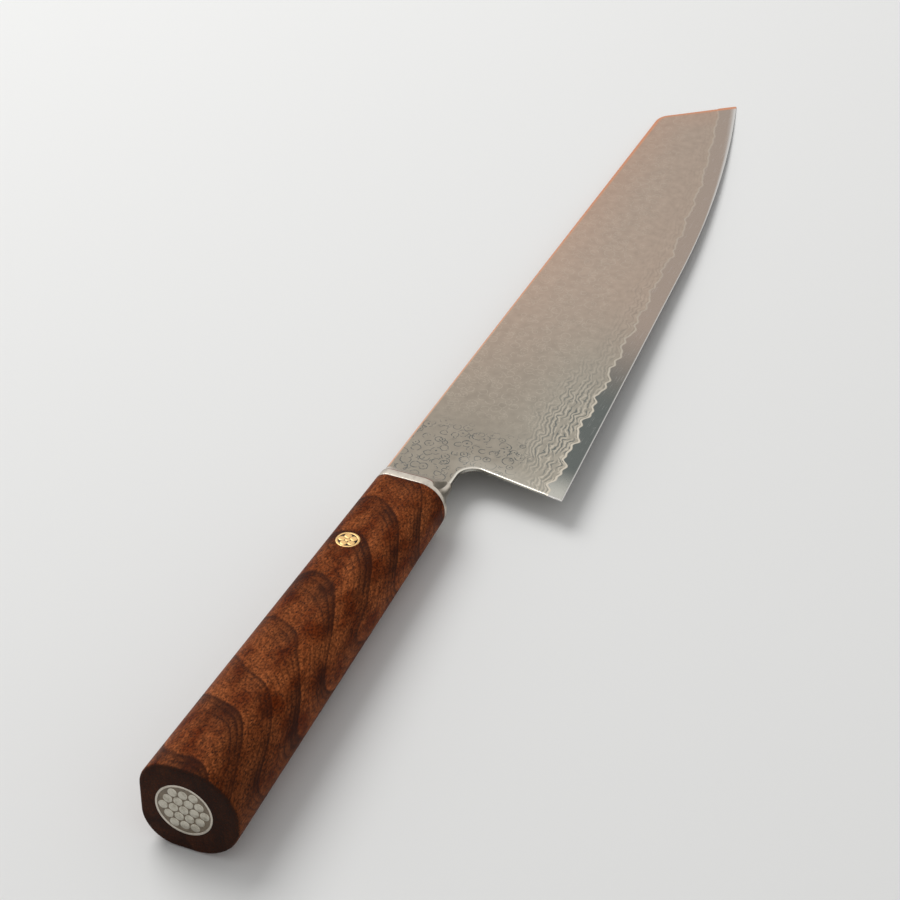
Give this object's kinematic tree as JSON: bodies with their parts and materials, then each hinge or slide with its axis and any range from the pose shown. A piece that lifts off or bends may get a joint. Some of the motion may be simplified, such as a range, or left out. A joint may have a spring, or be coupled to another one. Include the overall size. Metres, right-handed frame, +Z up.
{
  "type": "gyuto knife",
  "caption": "Kitchen knife with a laminated steel blade, clipped tip, sloping steel bolster and a tapered walnut handle with a mosaic pin and a mosaic butt cap.",
  "frame": {"origin": "centre of the bounding box's footprint, on the surface that the knife lies on", "axes": "+X along the knife from the butt to the tip, +Y from the cutting edge to the spine, +Z up from the surface, through the blade's right side"},
  "size_m": [0.3448, 0.0471, 0.0241],
  "materials": {
    "core_steel": "fine satin, ground to a bright edge",
    "damascus_cladding": "etched layered steel, matt to satin",
    "satin_stainless": "satin",
    "walnut": "oiled, satin",
    "cured_epoxy": "hidden",
    "pale_brass": "sanded flush",
    "dark_resin": "sanded flush",
    "tan_resin": "sanded flush",
    "nickel_silver": "sanded flush"
  },
  "bodies": {
    "root": {"blade_core": "core_steel", "cladding_right": "damascus_cladding", "cladding_left": "damascus_cladding", "bolster": "satin_stainless", "handle": "walnut", "tang_bedding": "cured_epoxy", "pin_tube": "pale_brass", "pin_resin": "dark_resin", "pin_centre_rod": "pale_brass", "pin_outer_rod_1": "pale_brass", "pin_outer_rod_2": "pale_brass", "pin_outer_rod_3": "pale_brass", "pin_outer_rod_4": "pale_brass", "pin_outer_rod_5": "pale_brass", "cap_ring": "satin_stainless", "cap_resin": "tan_resin", "cap_rod_01": "nickel_silver", "cap_rod_02": "nickel_silver", "cap_rod_03": "nickel_silver", "cap_rod_04": "nickel_silver", "cap_rod_05": "nickel_silver", "cap_rod_06": "nickel_silver", "cap_rod_07": "nickel_silver", "cap_rod_08": "nickel_silver", "cap_rod_09": "nickel_silver", "cap_rod_10": "nickel_silver", "cap_rod_11": "nickel_silver", "cap_rod_12": "nickel_silver", "cap_rod_13": "nickel_silver", "cap_rod_14": "nickel_silver", "cap_rod_15": "nickel_silver", "cap_rod_16": "nickel_silver", "cap_rod_17": "nickel_silver", "cap_rod_18": "nickel_silver", "cap_rod_19": "nickel_silver"}
  },
  "joints": []
}
